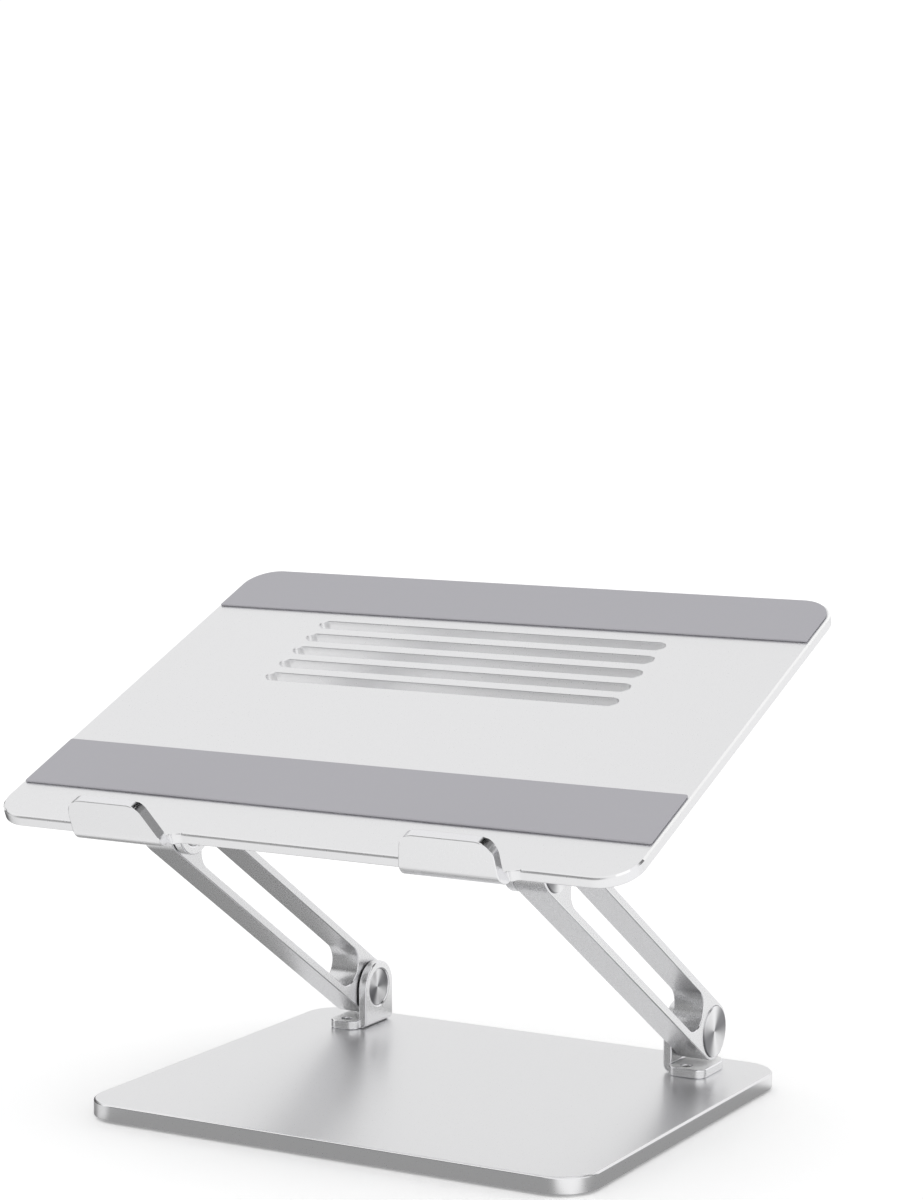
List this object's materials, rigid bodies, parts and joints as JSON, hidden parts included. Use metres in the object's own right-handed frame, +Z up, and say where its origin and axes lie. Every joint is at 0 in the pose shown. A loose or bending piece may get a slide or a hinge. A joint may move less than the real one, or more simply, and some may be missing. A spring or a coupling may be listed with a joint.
{
  "type": "laptop stand",
  "caption": "Folding aluminium laptop stand: a flat base, slotted arms on friction hinges and a tilting vented platform with front hooks and grip pads.",
  "frame": {"origin": "centre of the underside of the mat, on the desk", "axes": "+X to the right, +Y to the rear, +Z up; the hooks are at the front, towards -Y, and the stand is mirrored about X = 0 but for the slant of the hooks and the length of the bracket feet"},
  "size_m": [0.26, 0.2081, 0.1915],
  "materials": {
    "anodised": "bead-blasted, anodised natural silver",
    "bracket_metal": "satin anodised natural silver",
    "turned_metal": "face-turned, fine concentric grooves",
    "spring_steel": "zinc plated",
    "screw_steel": "zinc plated",
    "pad_silicone": "matt grey silicone",
    "base_silicone": "matt dark grey silicone"
  },
  "bodies": {
    "base": {"base_plate": "anodised", "base_mat": "base_silicone", "base_screws": "screw_steel", "bracket_lower_left": "bracket_metal", "pin_lower_left": "turned_metal", "washer_lower_left": "spring_steel", "nut_lower_left": "spring_steel", "bracket_lower_right": "bracket_metal", "pin_lower_right": "turned_metal", "washer_lower_right": "spring_steel", "nut_lower_right": "spring_steel"},
    "arm_left": {"arm_left": "anodised", "springs_lower_left": "spring_steel", "cap_lower_left": "turned_metal", "springs_upper_left": "spring_steel", "cap_upper_left": "turned_metal"},
    "arm_right": {"arm_right": "anodised", "springs_lower_right": "spring_steel", "cap_lower_right": "turned_metal", "springs_upper_right": "spring_steel", "cap_upper_right": "turned_metal"},
    "platform": {"platform_plate": "anodised", "front_pad": "pad_silicone", "rear_pad": "pad_silicone", "platform_screws": "screw_steel", "bracket_upper_left": "bracket_metal", "pin_upper_left": "turned_metal", "washer_upper_left": "spring_steel", "nut_upper_left": "spring_steel", "bracket_upper_right": "bracket_metal", "pin_upper_right": "turned_metal", "washer_upper_right": "spring_steel", "nut_upper_right": "spring_steel"}
  },
  "joints": [
    {"name": "lower_hinge_left", "type": "hinge", "parent": "base", "child": "arm_left", "pos_m": [0, 0.0685, 0.0226], "axis": [-1, 0, 0], "range_deg": [-33.25, 56.75]},
    {"name": "lower_hinge_right", "type": "hinge", "parent": "base", "child": "arm_right", "pos_m": [0, 0.0685, 0.0226], "axis": [-1, 0, 0], "range_deg": [-33.25, 56.75]},
    {"name": "platform_hinge", "type": "hinge", "parent": "arm_left", "child": "platform", "pos_m": [0, -0.06514, 0.11022], "axis": [1, 0, 0], "range_deg": [-55.65, 56.75]}
  ],
  "couplings": [
    {"joint": "lower_hinge_right", "follows": "lower_hinge_left", "ratio": 1}
  ]
}
